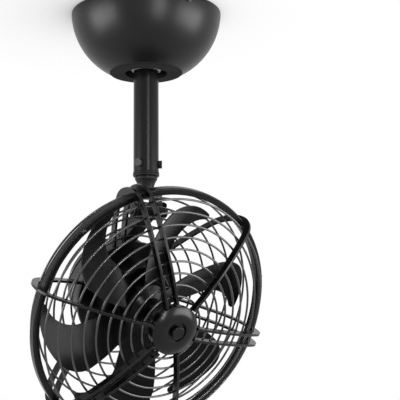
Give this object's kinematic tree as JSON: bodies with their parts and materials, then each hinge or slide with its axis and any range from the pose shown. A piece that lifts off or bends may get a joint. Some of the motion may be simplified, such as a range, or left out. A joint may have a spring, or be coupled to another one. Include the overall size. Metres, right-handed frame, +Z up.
{
  "type": "ceiling-hung tilting cage fan",
  "caption": "Compact downrod fan with a bowl canopy, a tilting and swivelling motor head, and cupped paddle blades inside a domed wire-ring guard.",
  "frame": {"origin": "centre of the hanger bracket's ceiling face, on the downrod axis", "axes": "+Z up into the ceiling along the downrod; the fan faces -Y, so the tilt axis lies along X"},
  "size_m": [0.2784, 0.1838, 0.4436],
  "materials": {
    "satin_black": "satin black powder coat on steel",
    "cast_black": "satin black paint on die-cast aluminium",
    "black_plastic": "moulded black plastic, satin",
    "black_screw": "black oxide steel",
    "zinc_steel": "zinc-plated steel",
    "lamination": "varnished steel laminations",
    "copper": "enamelled copper wire",
    "bronze": "sintered bronze",
    "nylon": "black nylon",
    "module_plastic": "off-white moulded plastic"
  },
  "bodies": {
    "ceiling_mount": {"canopy": "satin_black", "hanger_bracket": "zinc_steel", "canopy_screws": "black_screw", "receiver_module": "module_plastic", "terminal_block": "module_plastic"},
    "hanging_rod": {"hanger_ball": "nylon", "hanger_pin": "zinc_steel", "downrod": "satin_black", "rod_collar": "cast_black", "collar_screws": "black_screw"},
    "swivel": {"swivel_washer": "nylon", "swivel_fork": "cast_black", "swivel_stud": "zinc_steel", "swivel_nut": "zinc_steel", "hinge_washers": "nylon", "tilt_bolt": "black_screw"},
    "tilt_lock": {"tilt_knob": "black_screw"},
    "head": {"arm_screws": "black_screw", "cap_boss": "cast_black", "front_bearing": "bronze", "front_hub_cap": "cast_black", "front_hub_disc": "satin_black", "front_strap_1": "satin_black", "front_strap_2": "satin_black", "front_strap_3": "satin_black", "front_strap_pair_1": "satin_black", "front_strap_pair_2": "satin_black", "front_strap_pair_3": "satin_black", "front_wires": "satin_black", "hoop_front_ring": "satin_black", "hoop_rear_ring": "satin_black", "hoop_screws": "black_screw", "motor_front_cover": "cast_black", "motor_rear_cover": "cast_black", "rear_bearing": "bronze", "rear_hub_ring": "satin_black", "rear_hub_screws": "black_screw", "rear_strap_1": "satin_black", "rear_strap_2": "satin_black", "rear_strap_3": "satin_black", "rear_strap_pair_1": "satin_black", "rear_strap_pair_2": "satin_black", "rear_strap_pair_3": "satin_black", "rear_wires": "satin_black", "stator_core": "lamination", "stator_windings": "copper", "tilt_arm": "cast_black"},
    "rotor": {"motor_shaft": "zinc_steel", "rotor_core": "lamination", "blade_hub": "black_plastic", "lock_nut": "zinc_steel", "blade_1": "black_plastic", "blade_2": "black_plastic", "blade_3": "black_plastic", "blade_4": "black_plastic", "blade_5": "black_plastic", "blade_6": "black_plastic"}
  },
  "joints": [
    {"name": "rod_swing", "type": "hinge", "parent": "ceiling_mount", "child": "hanging_rod", "pos_m": [0, 0, -0.042], "axis": [1, 0, 0], "range_deg": [-12, 12]},
    {"name": "pan", "type": "hinge", "parent": "hanging_rod", "child": "swivel", "pos_m": [0, 0, -0.177], "axis": [0, 0, 1], "range_deg": [-170, 170]},
    {"name": "tilt", "type": "hinge", "parent": "swivel", "child": "head", "pos_m": [0, 0, -0.213], "axis": [1, 0, 0], "range_deg": [-40, 54]},
    {"name": "knob_turn", "type": "hinge", "parent": "swivel", "child": "tilt_lock", "pos_m": [0, 0, -0.213], "axis": [1, 0, 0], "continuous": true},
    {"name": "rotor_spin", "type": "hinge", "parent": "head", "child": "rotor", "pos_m": [0, -0.01027, -0.32038], "axis": [0, -0.9026, -0.4305], "continuous": true}
  ]
}
